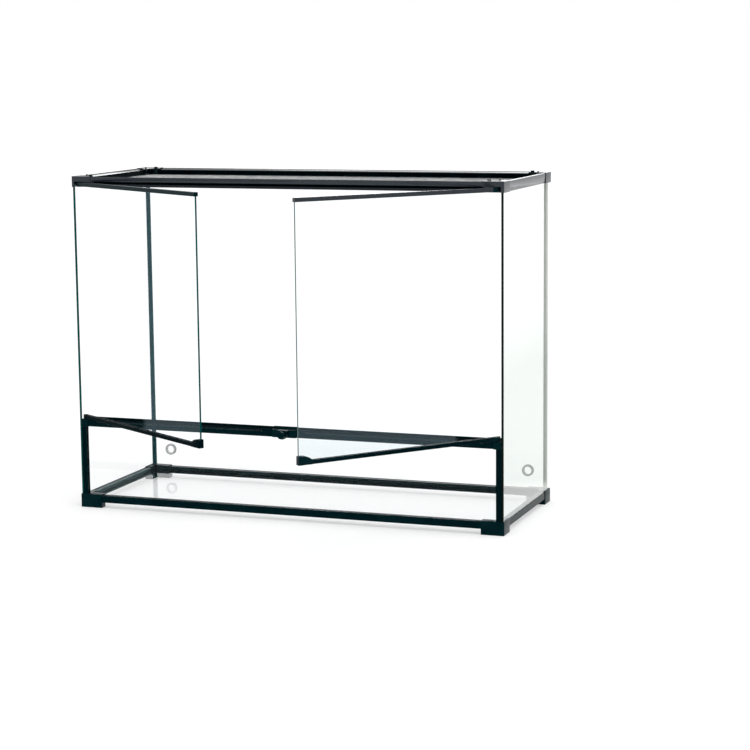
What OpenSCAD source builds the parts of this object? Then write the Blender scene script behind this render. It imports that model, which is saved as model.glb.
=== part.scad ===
// Glass terrarium with two hinged front doors, a slotted vent rail and a lift-out screen lid.
// The front faces -Y. The origin is on the ground, below the middle of the cabinet.
// Left-hand and front pieces are drawn where they stand, and the others are mirrored from them.

/* [Cabinet] */
// Width over the corner pieces
cabinet_w = 1200; // [900:10:1500]
// Depth over the corner pieces, without the open doors
cabinet_d = 450; // [400:10:650]
// Height from the ground to the top of the corner pieces
cabinet_h = 900; // [700:10:1000]
// Width of the base and top rails
rail_w = 20; // [18:0.5:24]
// How far the corner pieces stand proud of the rails
proud = 1.2; // [0.6:0.1:1.6]
// Wall of the hollow rails
wall = 1.6; // [1.2:0.1:1.8]
// Width of the bevel on outer edges
edge = 1; // [0.4:0.1:1.5]
// Radius of the corner pieces' upright edge
corner_r = 2.5; // [1:0.5:4]
// Length of the tongue that a corner piece pushes into a rail
tongue_l = 22; // [15:1:30]
// Play round a tongue in its rail
tongue_play = 0.2; // [0.1:0.05:0.3]

/* [Glass] */
// Thickness of the fixed panes and of the doors
glass_t = 5; // [4:0.5:6]
// Thickness of the floor pane
floor_t = 5; // [4:0.5:6]
// Play on each side of a pane in its channel
glass_play = 0.3; // [0.1:0.05:0.5]
// Depth of the channels in the base and top rails
channel_d = 10; // [6:0.5:11]
// How far the side panes lie inside the cabinet's sides
side_inset = 2.8; // [2.5:0.1:4]
// How far the back pane lies inside the cabinet's back
back_inset = 3; // [2.5:0.1:4]
// How far the front panes lie inside the cabinet's front
front_inset = 5; // [4.5:0.1:6]

/* [Base] */
// Height of the base rails above the ground
base_lift = 15; // [8:0.5:20]
// Height of a base rail
base_h = 19.5; // [18:0.5:24]
// Height of the floor pane's underside above the base rails' underside
floor_lift = 5; // [4:0.5:7]
// How deep the floor pane goes into the base rails
floor_bite = 8; // [5:0.5:9]
// Height of the corner feet
foot_h = 37; // [36:0.5:45]
// Length of a foot along the front or back
foot_arm_x = 62; // [45:1:80]
// Length of a foot along the side
foot_arm_y = 52; // [45:1:80]

/* [Posts] */
// Width of a front post
post_w = 14; // [11:0.5:18]
// Depth of a front post
post_t = 12; // [9:0.5:13]
// Wall of a front post beside the side pane
post_wall = 1.7; // [1.2:0.1:2.5]
// Leg of the angle strips in the back corners
strip_leg = 9.5; // [8:0.5:16]
// Thickness of the angle strips
strip_t = 2; // [1.5:0.1:3]
// Width of the strip's tongue between the back pane and the side pane
strip_tongue = 3.7; // [2.5:0.1:5]
// Gap that assembly leaves beside the posts and the vent rail's ends
fit_gap = 0.2; // [0.1:0.05:0.4]

/* [Vent rail] */
// Height of the vent rail's underside above the ground
vent_z = 224; // [150:1:350]
// Height of the vent rail, with its door stop
vent_h = 25.5; // [25:0.5:34]
// Height of the ledge that the doors close over, above the rail's underside
ledge_h = 20; // [19.5:0.5:22]
// Wall of the vent rail
vent_wall = 2; // [1.5:0.1:2.2]
// How far the wall behind the vent slots hangs down below the doors' ledge
vent_skirt = 11; // [9:0.5:14]
// How deep the lower front pane goes into the vent rail
vent_bite = 9; // [5:0.5:9.5]
// Distance between vent slots
slot_pitch = 5; // [4:0.5:8]
// Width of a vent slot
slot_w = 2.2; // [1.5:0.1:3]
// Height of a vent slot
slot_h = 4.6; // [3:0.1:5]
// Length of rail left plain beyond each tongue
slot_margin = 5; // [3:1:30]
// Length of the vent rail's end brackets
bracket_l = 20; // [20:0.5:40]

/* [Top frame] */
// Height of the top rails
top_h = 26.8; // [26:0.2:32]
// Height of the front top rail's face above the doors
fascia_h = 12.8; // [12:0.2:16]
// Height of the lip that the doors close against
lip_h = 7; // [4:0.5:9]
// How far the lip stands out from the wall above it
lip_out = 4; // [2:0.5:5]
// Height of the rim along the top rails' outer top edge
rim_h = 1.5; // [0.5:0.1:2]
// Width of that rim
rim_w = 2; // [1.6:0.1:3]
// Width of the slope along the inner top edge of the top frame
slope_w = 8; // [5:0.5:9]
// How far that slope falls
slope_fall = 3; // [2:0.5:4]
// How far below the rails' top the screen lid rests
lid_drop = 21.5; // [14:0.5:22]
// Width of the ledge under the screen lid
lid_ledge_w = 7; // [5:0.5:9]
// Thickness of the ledge under the screen lid
lid_ledge_t = 2.5; // [1.5:0.1:3]
// Length of a top corner piece along the front or back
top_arm_x = 57; // [50:1:80]
// Length of a top corner piece along the side
top_arm_y = 55; // [50:1:80]

/* [Doors] */
// Thickness of the door rails
door_rail_t = 12; // [10:0.5:13]
// Height of the door rails
door_rail_h = 10.5; // [10:0.5:15]
// Thickness of a door rail under or over the glass
door_web = 3; // [2:0.5:4]
// Gap below the closed doors
door_gap_low = 1; // [0.8:0.1:1.5]
// Gap above the closed doors
door_gap_high = 2; // [1:0.1:3]
// Gap between the closed doors
door_gap_mid = 4; // [2:0.5:6]
// Gap between a closed door's corner block and the stops
stop_gap = 0.8; // [0.5:0.1:1.5]
// Distance of the hinge pins from the cabinet's side
pin_in = 18; // [16:0.5:19]
// Radius of the hinge pins
pin_r = 2; // [1.5:0.1:2.5]
// Length of the hinge pins
pin_l = 9; // [7:0.5:9]
// Clearance round a hinge pin
pin_play = 0.05; // [0.02:0.01:0.1]
// Length of the hinge shoes on the door rails
shoe_l = 24; // [18:1:40]
// Length of the corner block at a door's free lower corner
block_l = 38; // [35:1:60]
// Height of the corner block at the door's free edge
block_h = 22; // [18:0.5:30]
// Thickness of the corner block
block_t = 14; // [13:0.5:14.5]
// Length of the corner block's level top
block_flat = 10; // [5:1:20]
// Wall of the corner block round the glass edge
block_wall = 1.5; // [1:0.1:2.5]
// Angle that the left door stands open
left_open = 33; // [0:1:105]
// Angle that the right door stands open
right_open = 51; // [0:1:105]

/* [Lock] */
// Width of the lock housing
lock_w = 66; // [50:1:90]
// Height of the lock barrel's axis above the vent rail's underside
barrel_lift = 8.4; // [7:0.1:8.5]
// Radius of the lock barrel's head
barrel_r = 10; // [8:0.5:11.5]
// Length of the lock barrel's head
barrel_l = 10; // [6:0.5:14]
// Radius of the lock barrel's shaft
shaft_r = 6; // [6:0.1:7]
// Width of the lock boss along its top
boss_w = 29; // [26:0.5:36]
// Radius of the lock boss round the barrel
boss_r = 12.2; // [12.2:0.1:14]
// How far the lock boss stands out from the housing
boss_t = 12; // [10:0.5:16]
// Width of the lock bolt
bolt_w = 16; // [15:0.5:17]
// Thickness of the lock bolt
bolt_t = 3; // [2:0.1:4]
// Play round the lock bolt
bolt_play = 0.3; // [0.2:0.05:0.4]
// How far a quarter turn of the barrel lifts the bolt
bolt_lift = 6; // [5:0.5:6.5]
// Radius of the barrel's drive pin
drive_r = 1.5; // [1:0.1:1.7]
// Length of the key slot
key_l = 9; // [6:0.5:12]
// Width of the key slot
key_w = 1.8; // [1:0.1:3]

/* [Screen lid] */
// Width of the lid's rails
lid_rail_w = 14; // [12:0.5:18]
// Height of the lid's rails
lid_rail_h = 6; // [5:0.5:7]
// Gap round the lid
lid_gap = 0.6; // [0.4:0.1:1]
// Thickness of the screen
mesh_t = 0.8; // [0.5:0.1:1.2]
// How deep the screen goes into the lid's rails
mesh_bite = 4; // [2:0.5:6]
// Height of the screen above the lid rails' underside
mesh_lift = 4; // [3.5:0.1:4.2]
// Play round the screen in its groove
mesh_play = 0.2; // [0.1:0.05:0.3]
// Gaps of the screen along its length
mesh_nx = 25; // [10:1:25]
// Gaps of the screen along its depth
mesh_ny = 10; // [5:1:12]
// Width of the screen's strands
strand_w = 1.6; // [1:0.1:3]
// Distance of the lid clips from the cabinet's corners
clip_in = 45; // [40:1:48]
// Width of a lid clip
clip_w = 10; // [6:1:12]
// Length of a lid clip's foot
clip_foot = 8; // [6:0.5:10]
// Thickness of a lid clip
clip_t = 2; // [1.5:0.1:3]
// How far the lid clips stand above the cabinet
clip_rise = 3; // [1:0.5:8]

/* [Grommets] */
// Distance of the cable grommets from the cabinet's sides
grommet_in = 62; // [60:1:120]
// Height of the cable grommets above the ground
grommet_z = 83; // [60:1:140]
// Radius of the hole through a cable grommet
grommet_bore_r = 10.75; // [8:0.05:11.5]
// Radius of a cable grommet's flange
grommet_r = 16; // [15:0.5:20]
// Thickness of a cable grommet's flange
grommet_t = 2; // [1:0.1:2.2]
// Radius of the hole in the back pane
pane_hole_r = 13; // [12.8:0.1:14]

/* [Hidden] */

$fn = 64;
cut = 1;
plastic = [0.05, 0.07, 0.08];
edge_green = [0.62, 0.82, 0.78, 0.35];
clear = [0.85, 0.92, 0.92, 0.3];
ring_grey = [0.55, 0.56, 0.56];
net_grey = [0.25, 0.26, 0.27];

half_w = cabinet_w / 2;
half_d = cabinet_d / 2;
rail_x = -half_w + proud;
rail_y = -half_d + proud;
corner_t = rail_w + 2 * proud;
slot_t = glass_t + 2 * glass_play;

// Base heights
base_top = base_lift + base_h;
channel_z = base_top - channel_d;
floor_z = base_lift + floor_lift;
floor_slot_u = rail_w - floor_bite;
base_hole = [floor_slot_u - 2 * wall, base_h - channel_d - 2 * wall];

// Faces of the fixed panes
side_x = -half_w + side_inset;
side_in_x = side_x + glass_t;
side_y = -half_d + front_inset - glass_play - 2 * proud;
back_y = half_d - back_inset;
front_y = -half_d + front_inset;
post_x = side_in_x + fit_gap;
lower_pane_x = post_x + post_wall + glass_play;
back_pane_x = side_in_x + fit_gap + strip_tongue + glass_play;

// Doors, drawn closed
door_y = front_y + glass_t / 2;
stop_y = door_y + block_t / 2 + stop_gap;
pin_x = -half_w + pin_in;
knuckle_r = door_rail_t / 2;
door_x1 = -door_gap_mid / 2;
shoe_x = pin_x - knuckle_r + shoe_l;
block_x = door_x1 - block_l;

// Vent rail heights
vent_ledge_z = vent_z + ledge_h;
vent_pane_z = vent_z + vent_bite;
vent_slot_z = vent_pane_z + glass_play;
vent_back_y = stop_y + vent_wall + proud;
bracket_x = post_x + bracket_l;
vent_room_low = vent_slot_z + vent_wall;
vent_room_high = vent_ledge_z - vent_wall;
vent_skirt_z = vent_ledge_z - vent_skirt;

// Top frame heights
top_top = cabinet_h - proud;
top_flat = top_top - rim_h;
top_z = top_top - top_h;
fascia_z = top_top - fascia_h;
lid_z = top_top - lid_drop;
top_hole_w = rail_w - 2 * wall;
top_hole_z = top_flat - slope_fall - wall;
door_z0 = vent_ledge_z + door_gap_low;
door_z1 = fascia_z - door_gap_high;

// Lock
barrel_z = vent_z + barrel_lift;
boss_top = door_z0 - 2 * bolt_play;
bolt_y = -half_d - 1 - bolt_play;
drive_e = bolt_lift / sqrt(2);
drive_x = bolt_lift / 2;
drive_z = barrel_z - bolt_lift / 2;
drive_room = drive_r + bolt_play;
bolt_z = drive_z - drive_room - 2;

// Screen lid
lid_x = half_w - proud - rail_w - proud - lid_gap;
lid_y = half_d - proud - rail_w - proud - lid_gap;
mesh_z = lid_z + mesh_lift;
net_x = lid_x - lid_rail_w;
net_y = lid_y - lid_rail_w;
clip_h = cabinet_h + clip_rise - lid_z - lid_rail_h;

// Box between two opposite corners
module block(low, high) {
    translate(low)
        cube(high - low);
}

// Section drawn in Y and Z, drawn out along X
module along_x(x0, x1) {
    translate([x0, 0, 0])
        rotate([90, 0, 90])
            linear_extrude(x1 - x0)
                children();
}

// Section drawn in X and Z, drawn out along Y
module along_y(y0, y1) {
    translate([0, y1, 0])
        rotate([90, 0, 0])
            linear_extrude(y1 - y0)
                children();
}

module mirrored(on, direction) {
    if (on)
        mirror(direction)
            children();
    else
        children();
}

// Turns a left piece into the right one
module sided(right) {
    mirrored(right, [1, 0, 0])
        children();
}

// Distance from a rail's outer face to its channel, for a pane set in by inset
function channel_u(inset) = inset - proud - glass_play;

// Base rail: pane channel on top, floor slot inside, hollow below the channel
module base_section(inset) {
    u = channel_u(inset);
    difference() {
        polygon([
            [0, base_lift + edge], [0, base_top - edge], [edge / 2, base_top],
            [u, base_top], [u, channel_z], [u + slot_t, channel_z], [u + slot_t, base_top],
            [rail_w - edge, base_top], [rail_w, base_top - edge],
            [rail_w, floor_z + floor_t + glass_play],
            [floor_slot_u, floor_z + floor_t + glass_play],
            [floor_slot_u, floor_z], [rail_w, floor_z],
            [rail_w, base_lift], [edge, base_lift]
        ]);
        translate([wall, base_lift + wall])
            square(base_hole);
    }
}

module base_tongue() {
    translate([wall + tongue_play, base_lift + wall + tongue_play])
        square([base_hole.x - 2 * tongue_play, base_hole.y - 2 * tongue_play]);
}

module base_rail_x(inset) {
    color(plastic)
        along_x(-half_w + foot_arm_x, half_w - foot_arm_x)
            translate([rail_y, 0])
                base_section(inset);
}

module base_rail_y() {
    color(plastic)
        along_y(-half_d + foot_arm_y, half_d - foot_arm_y)
            translate([rail_x, 0])
                base_section(side_inset);
}

// Plan of a corner piece, with its upright edge rounded
module corner_plan(arm_x, arm_y) {
    translate([-half_w, -half_d]) {
        translate([corner_r, 0])
            square([arm_x - corner_r, corner_t]);
        translate([0, corner_r])
            square([corner_t, arm_y - corner_r]);
        translate([corner_r, corner_r])
            circle(corner_r);
    }
}

// Bevels the outer top and bottom edges of a corner piece between z0 and z1
module bevelled_corner(z0, z1) {
    intersection() {
        children();
        along_x(-half_w - cut, 0)
            bevelled_half(half_d, z0, z1);
        along_y(-half_d - cut, 0)
            bevelled_half(half_w, z0, z1);
    }
}

module bevelled_half(half, z0, z1) {
    polygon([[-half, z0 + edge], [-half, z1 - edge], [-half + edge, z1], [0, z1],
        [0, z0], [-half + edge, z0]]);
}

// Foot of the left side. The pane across it is set in by inset and starts at pane_x.
module foot(inset, pane_x) {
    color(plastic) {
        difference() {
            bevelled_corner(0, foot_h)
                linear_extrude(foot_h)
                    corner_plan(foot_arm_x, foot_arm_y);
            block([side_x - glass_play, side_y - glass_play, channel_z],
                [side_in_x + glass_play, 0, foot_h + cut]);
            block([pane_x - glass_play, -half_d + inset - glass_play, channel_z],
                [0, -half_d + inset + glass_t + glass_play, foot_h + cut]);
            block([rail_x + floor_slot_u, rail_y + floor_slot_u, floor_z],
                [0, 0, floor_z + floor_t + glass_play]);
        }
        along_x(-half_w + foot_arm_x - cut, -half_w + foot_arm_x + tongue_l)
            translate([rail_y, 0])
                base_tongue();
        along_y(-half_d + foot_arm_y - cut, -half_d + foot_arm_y + tongue_l)
            translate([rail_x, 0])
                base_tongue();
    }
}

module floor_pane() {
    x = -rail_x - floor_slot_u - glass_play;
    y = -rail_y - floor_slot_u - glass_play;
    color(clear)
        block([-x, -y, floor_z], [x, y, floor_z + floor_t]);
}

module side_pane() {
    color(edge_green)
        block([side_x, side_y, channel_z],
            [side_in_x, -side_y, top_z + channel_d - glass_play]);
}

module back_pane() {
    color(clear)
        difference() {
            block([back_pane_x, back_y - glass_t, channel_z],
                [-back_pane_x, back_y, top_z + channel_d - glass_play]);
            for (side = [-1, 1])
                translate([side * (half_w - grommet_in), back_y + cut, grommet_z])
                    rotate([90, 0, 0])
                        cylinder(r = pane_hole_r, h = glass_t + 2 * cut);
        }
}

module lower_front_pane() {
    color(edge_green)
        block([lower_pane_x, front_y, channel_z],
            [-lower_pane_x, front_y + glass_t, vent_pane_z]);
}

// Upright channel that holds the end of the lower front pane
module front_post() {
    color(plastic)
        difference() {
            block([post_x, door_y - post_t / 2, foot_h],
                [post_x + post_w, door_y + post_t / 2, vent_z - proud]);
            block([lower_pane_x - glass_play, door_y - slot_t / 2, foot_h - cut],
                [0, door_y + slot_t / 2, vent_z]);
        }
}

// Angle strip in a back corner, with a tongue between the two panes
module back_strip() {
    x = side_in_x + fit_gap;
    y = back_y - glass_t - fit_gap;
    color(plastic)
        translate([0, 0, foot_h])
            linear_extrude(top_z - proud - foot_h)
                polygon([
                    [x, back_y], [x + strip_tongue, back_y], [x + strip_tongue, y],
                    [x + strip_leg, y], [x + strip_leg, y - strip_t],
                    [x + strip_t, y - strip_t], [x + strip_t, y - strip_leg],
                    [x, y - strip_leg]
                ]);
}

// Vent rail: pane channel below, ledge and door stop on top. The stop's wall hangs down
// behind the slots, and the air goes round it, between this wall and the channel.
module vent_section() {
    polygon([
        [rail_y, vent_z], [rail_y, vent_ledge_z - edge], [rail_y + edge, vent_ledge_z],
        [stop_y, vent_ledge_z], [stop_y, vent_z + vent_h],
        [stop_y + vent_wall, vent_z + vent_h], [stop_y + vent_wall, vent_skirt_z],
        [stop_y, vent_skirt_z], [stop_y, vent_room_high],
        [rail_y + vent_wall, vent_room_high], [rail_y + vent_wall, vent_room_low],
        [door_y + slot_t / 2 + vent_wall, vent_room_low],
        [door_y + slot_t / 2 + vent_wall, vent_z], [door_y + slot_t / 2, vent_z],
        [door_y + slot_t / 2, vent_slot_z], [door_y - slot_t / 2, vent_slot_z],
        [door_y - slot_t / 2, vent_z]
    ]);
}

module vent_tongue() {
    translate([rail_y + vent_wall + tongue_play, vent_room_low + tongue_play])
        square([slot_t + vent_wall, vent_room_high - vent_room_low - 2 * tongue_play]);
}

module vent_rail() {
    x0 = bracket_x;
    x1 = -lock_w / 2;
    first = x0 + tongue_l + slot_margin;
    run = x1 - tongue_l - slot_margin - first;
    count = floor(run / slot_pitch);
    slot_z = (vent_room_low + vent_room_high - slot_h) / 2;
    color(plastic)
        difference() {
            along_x(x0, x1)
                vent_section();
            for (i = [0 : count - 1])
                translate([first + (i + 0.5) * run / count - slot_w / 2, rail_y - cut, slot_z])
                    cube([slot_w, vent_wall + 2 * cut, slot_h]);
        }
}

// Section that the brackets and the lock housing share
module vent_moulding_section() {
    difference() {
        polygon([
            [-half_d + edge, vent_z - proud], [-half_d, vent_z - proud + edge],
            [-half_d, vent_ledge_z - edge], [-half_d + edge, vent_ledge_z],
            [stop_y, vent_ledge_z], [stop_y, vent_z + vent_h + proud],
            [vent_back_y, vent_z + vent_h + proud], [vent_back_y, vent_z - proud]
        ]);
        translate([door_y - slot_t / 2, vent_z - proud - cut])
            square([slot_t, vent_slot_z - vent_z + proud + cut]);
    }
}

// Bracket at the vent rail's left end, with the socket of the door's lower pin
module hinge_bracket() {
    socket = pin_l - door_gap_low + fit_gap;
    color(plastic) {
        difference() {
            along_x(post_x, bracket_x)
                vent_moulding_section();
            translate([pin_x, door_y, vent_ledge_z - socket])
                cylinder(r = pin_r + pin_play, h = socket + cut);
        }
        along_x(bracket_x - cut, bracket_x + tongue_l)
            vent_tongue();
    }
}

// Outline of the lock boss: flat on top and round below the barrel
module boss_outline() {
    translate([0, barrel_z])
        circle(boss_r);
    polygon([[-boss_r, barrel_z], [-boss_w / 2, boss_top - edge],
        [-boss_w / 2 + edge, boss_top], [boss_w / 2 - edge, boss_top],
        [boss_w / 2, boss_top - edge], [boss_r, barrel_z]]);
}

module lock_housing() {
    room_x = bolt_w / 2 + bolt_play;
    color(plastic) {
        difference() {
            union() {
                along_x(-lock_w / 2, lock_w / 2)
                    vent_moulding_section();
                along_y(-half_d - boss_t, -half_d + cut)
                    boss_outline();
            }
            block([-room_x, bolt_y - bolt_t - bolt_play, bolt_z - bolt_play],
                [room_x, bolt_y + bolt_play, boss_top + cut]);
            translate([0, bolt_y, barrel_z])
                rotate([90, 0, 0])
                    cylinder(r = shaft_r + pin_play, h = boss_t);
        }
        for (right = [false, true])
            sided(right)
                along_x(-lock_w / 2 - tongue_l, -lock_w / 2 + cut)
                    vent_tongue();
    }
}

// Barrel: round head with a key slot, shaft, and a drive pin off its axis
module lock_barrel() {
    head_y = -half_d - boss_t - fit_gap;
    shaft_y = bolt_y - bolt_t - bolt_play;
    color(plastic) {
        difference() {
            translate([0, head_y, barrel_z])
                rotate([90, 0, 0]) {
                    cylinder(r = barrel_r, h = barrel_l - edge);
                    translate([0, 0, barrel_l - edge])
                        cylinder(r1 = barrel_r, r2 = barrel_r - edge, h = edge);
                }
            translate([-key_w / 2, head_y - barrel_l - cut, barrel_z - key_l / 2])
                cube([key_w, barrel_l / 2, key_l]);
        }
        translate([0, shaft_y, barrel_z])
            rotate([90, 0, 0])
                cylinder(r = shaft_r, h = shaft_y - head_y + cut);
        translate([drive_x, bolt_y - bolt_play, drive_z])
            rotate([90, 0, 0])
                cylinder(r = drive_r, h = bolt_t + bolt_play);
    }
}

// Bolt: the drive pin lifts it through its slot, in front of both closed doors
module lock_bolt() {
    color(ring_grey)
        difference() {
            block([-bolt_w / 2, bolt_y - bolt_t, bolt_z],
                [bolt_w / 2, bolt_y, boss_top - fit_gap]);
            along_y(bolt_y - bolt_t - cut, bolt_y + cut) {
                translate([drive_x - drive_room / 2, drive_z - drive_room])
                    square([drive_e - drive_x + drive_room, 2 * drive_room]);
                for (x = [drive_x - drive_room / 2, drive_e + drive_room / 2])
                    translate([x, drive_z])
                        circle(drive_room);
            }
        }
}

// Upper part of every top section: rim, flat top, inner slope and the lid's ledge
function top_outline() = [
    [edge, top_top], [rim_w, top_top], [rim_w, top_flat],
    [rail_w - slope_w, top_flat], [rail_w, top_flat - slope_fall],
    [rail_w, lid_z], [rail_w + lid_ledge_w, lid_z],
    [rail_w + lid_ledge_w, lid_z - lid_ledge_t], [rail_w, lid_z - lid_ledge_t],
    [rail_w, top_z]
];

// Back and side top rails, with the pane channel underneath
module top_section(inset) {
    u = channel_u(inset);
    difference() {
        polygon(concat([[0, top_z], [0, top_top - edge]], top_outline(),
            [[u + slot_t, top_z], [u + slot_t, top_z + channel_d], [u, top_z + channel_d],
            [u, top_z]]));
        top_hole(0);
    }
}

// Front top rail: a fascia over the doors, and the lip that they close against
module top_front_section() {
    lip_u = stop_y - rail_y;
    wall_u = min(lip_u + lip_out, rail_w - wall);
    difference() {
        polygon(concat([[0, fascia_z], [0, top_top - edge]], top_outline(),
            [[lip_u, top_z], [lip_u, top_z + lip_h], [wall_u, top_z + lip_h],
            [wall_u, fascia_z]]));
        fascia_hole(0);
    }
}

// Hollows of the top rails, made smaller by play for the tongues
module top_hole(play) {
    low = top_z + channel_d + wall;
    translate([wall + play, low + play])
        square([top_hole_w - 2 * play, top_hole_z - low - 2 * play]);
}

module fascia_hole(play) {
    low = fascia_z + wall;
    translate([wall + play, low + play])
        square([top_hole_w - 2 * play, top_hole_z - low - 2 * play]);
}

module top_rail_front() {
    color(plastic)
        along_x(-half_w + top_arm_x, half_w - top_arm_x)
            translate([rail_y, 0])
                top_front_section();
}

module top_rail_back() {
    color(plastic)
        mirror([0, 1, 0])
            along_x(-half_w + top_arm_x, half_w - top_arm_x)
                translate([rail_y, 0])
                    top_section(back_inset);
}

module top_rail_side() {
    color(plastic)
        along_y(-half_d + top_arm_y, half_d - top_arm_y)
            translate([rail_x, 0])
                top_section(side_inset);
}

// What a top corner's inner slope takes away along one arm, whose inner edge is at inner
module slope_section(inner) {
    polygon([[inner - slope_w, cabinet_h], [inner, cabinet_h - slope_fall],
        [0, cabinet_h - slope_fall], [0, cabinet_h + cut], [inner - slope_w, cabinet_h + cut]]);
}

// The slopes of both arms meet in a mitre
module corner_slope() {
    intersection() {
        along_x(-half_w, 0)
            slope_section(-half_d + corner_t);
        along_y(-half_d, 0)
            slope_section(-half_w + corner_t);
    }
}

// Top corner of the left side. A front one has the door recess and the upper pin's socket.
module top_corner(front) {
    low = top_z - proud;
    socket = pin_l - door_gap_high + fit_gap;
    color(plastic) {
        difference() {
            bevelled_corner(low, cabinet_h)
                translate([0, 0, low])
                    linear_extrude(cabinet_h - low)
                        corner_plan(top_arm_x, top_arm_y);
            corner_slope();
            block([side_x - glass_play, side_y - glass_play, low - cut],
                [side_in_x + glass_play, 0, top_z + channel_d]);
            if (front) {
                block([post_x, -half_d - cut, low - cut], [0, stop_y, fascia_z]);
                translate([pin_x, door_y, fascia_z - cut])
                    cylinder(r = pin_r + pin_play, h = socket + cut);
            } else {
                block([back_pane_x - glass_play, -back_y - glass_play, low - cut],
                    [0, -back_y + glass_t + glass_play, top_z + channel_d]);
            }
        }
        along_x(-half_w + top_arm_x - cut, -half_w + top_arm_x + tongue_l)
            translate([rail_y, 0]) {
                if (front)
                    fascia_hole(tongue_play);
                else
                    top_hole(tongue_play);
            }
        along_y(-half_d + top_arm_y - cut, -half_d + top_arm_y + tongue_l)
            translate([rail_x, 0])
                top_hole(tongue_play);
    }
}

// Groove in the lid's rails that holds the screen
module lid_groove() {
    x = net_x + mesh_bite + mesh_play;
    y = net_y + mesh_bite + mesh_play;
    block([-x, -y, mesh_z - mesh_play], [x, y, mesh_z + mesh_t + mesh_play]);
}

// Mitred lid rail: length half long, its outer edge at distance out
module lid_rail(long, out) {
    inner = long - lid_rail_w;
    color(plastic)
        difference() {
            translate([0, 0, lid_z])
                linear_extrude(lid_rail_h)
                    polygon([[-long, -out], [long, -out],
                        [inner, -out + lid_rail_w], [-inner, -out + lid_rail_w]]);
            children();
        }
}

module lid_rail_x() {
    lid_rail(lid_x, lid_y)
        lid_groove();
}

module lid_rail_y() {
    rotate([0, 0, -90])
        lid_rail(lid_y, lid_x)
            rotate([0, 0, 90])
                lid_groove();
}

// Screen, drawn as an open net between the lid's rails
module lid_screen() {
    px = 2 * net_x / mesh_nx;
    py = 2 * net_y / mesh_ny;
    color(net_grey)
        difference() {
            block([-net_x - mesh_bite, -net_y - mesh_bite, mesh_z],
                [net_x + mesh_bite, net_y + mesh_bite, mesh_z + mesh_t]);
            for (i = [0 : mesh_nx - 1], j = [0 : mesh_ny - 1])
                translate([i * px - net_x + strand_w / 2, j * py - net_y + strand_w / 2,
                    mesh_z - cut])
                    cube([px - strand_w, py - strand_w, mesh_t + 2 * cut]);
        }
}

// Upright tab with a foot on the lid's rail, drawn with its outer face on X = 0
module lid_clip() {
    translate([0, 0, lid_z + lid_rail_h])
        along_y(-clip_w / 2, clip_w / 2)
            polygon([[0, 0], [clip_foot, 0], [clip_foot, clip_t - edge / 2],
                [clip_foot - edge / 2, clip_t], [clip_t, clip_t], [clip_t, clip_h - edge],
                [clip_t - edge / 2, clip_h], [0, clip_h]]);
}

module lid_clips() {
    color(plastic)
        for (mx = [0, 1], my = [0, 1])
            mirrored(mx == 1, [1, 0, 0])
                mirrored(my == 1, [0, 1, 0]) {
                    translate([-lid_x, -half_d + clip_in, 0])
                        lid_clip();
                    translate([-half_w + clip_in, -lid_y, 0])
                        rotate([0, 0, 90])
                            lid_clip();
                }
}

// Ring that lines a cable hole in the back pane
module grommet() {
    inner = glass_t / 2 + fit_gap;
    outer = inner + grommet_t;
    neck = pane_hole_r - fit_gap;
    color(ring_grey)
        translate([-half_w + grommet_in, back_y - glass_t / 2, grommet_z])
            rotate([90, 0, 0])
                rotate_extrude()
                    polygon([[grommet_bore_r, -outer], [grommet_r - edge, -outer],
                        [grommet_r, -outer + edge], [grommet_r, -inner], [neck, -inner],
                        [neck, inner], [grommet_r, inner], [grommet_r, outer - edge],
                        [grommet_r - edge, outer], [grommet_bore_r, outer]]);
}

// Swings a closed left door's piece open, and mirrors it for the right door
module hung(right) {
    angle = right ? right_open : left_open;
    sided(right)
        translate([pin_x, door_y, 0])
            rotate([0, 0, -angle])
                translate([-pin_x, -door_y, 0])
                    children();
}

module door_pane(right) {
    color(edge_green)
        hung(right)
            block([pin_x - knuckle_r + block_wall, front_y, door_z0 + door_web],
                [door_x1 - block_wall, front_y + glass_t, door_z1 - door_web]);
}

// Outside of a door rail's section, from the closed edge upwards
module door_section() {
    half = door_rail_t / 2;
    translate([door_y, 0])
        polygon([[-half, edge], [-half + edge, 0], [half - edge, 0], [half, edge],
            [half, door_rail_h - edge / 2], [half - edge / 2, door_rail_h],
            [-half + edge / 2, door_rail_h], [-half, door_rail_h - edge / 2]]);
}

// Room for the glass in whatever clasps a door's lower edge
module door_glass_room(x0) {
    block([x0 - glass_play, door_y - slot_t / 2, door_web],
        [door_x1 - block_wall + glass_play, door_y + slot_t / 2, block_h + cut]);
}

// Puts a piece drawn from its closed edge upwards on the door's lower or upper edge
module door_edge(right, upper) {
    hung(right) {
        if (upper)
            translate([0, 0, door_z1])
                mirror([0, 0, 1])
                    children();
        else
            translate([0, 0, door_z0])
                children();
    }
}

// The upper rail's free end is closed, and the lower rail ends at the corner block
module door_rail(right, upper) {
    color(plastic)
        door_edge(right, upper)
            difference() {
                along_x(shoe_x, upper ? door_x1 : block_x)
                    door_section();
                door_glass_room(shoe_x - cut);
            }
}

// Hinge shoe: round end about the pin, which stands out of the door
module door_shoe(right, upper) {
    color(plastic)
        door_edge(right, upper) {
            difference() {
                intersection() {
                    along_x(pin_x - knuckle_r, shoe_x)
                        door_section();
                    union() {
                        translate([pin_x, door_y, 0])
                            cylinder(r = knuckle_r, h = door_rail_h);
                        block([pin_x, door_y - knuckle_r, 0],
                            [shoe_x, door_y + knuckle_r, door_rail_h]);
                    }
                }
                door_glass_room(pin_x - knuckle_r + block_wall);
            }
            translate([pin_x, door_y, -pin_l])
                cylinder(r = pin_r, h = pin_l + door_web / 2);
        }
}

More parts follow.
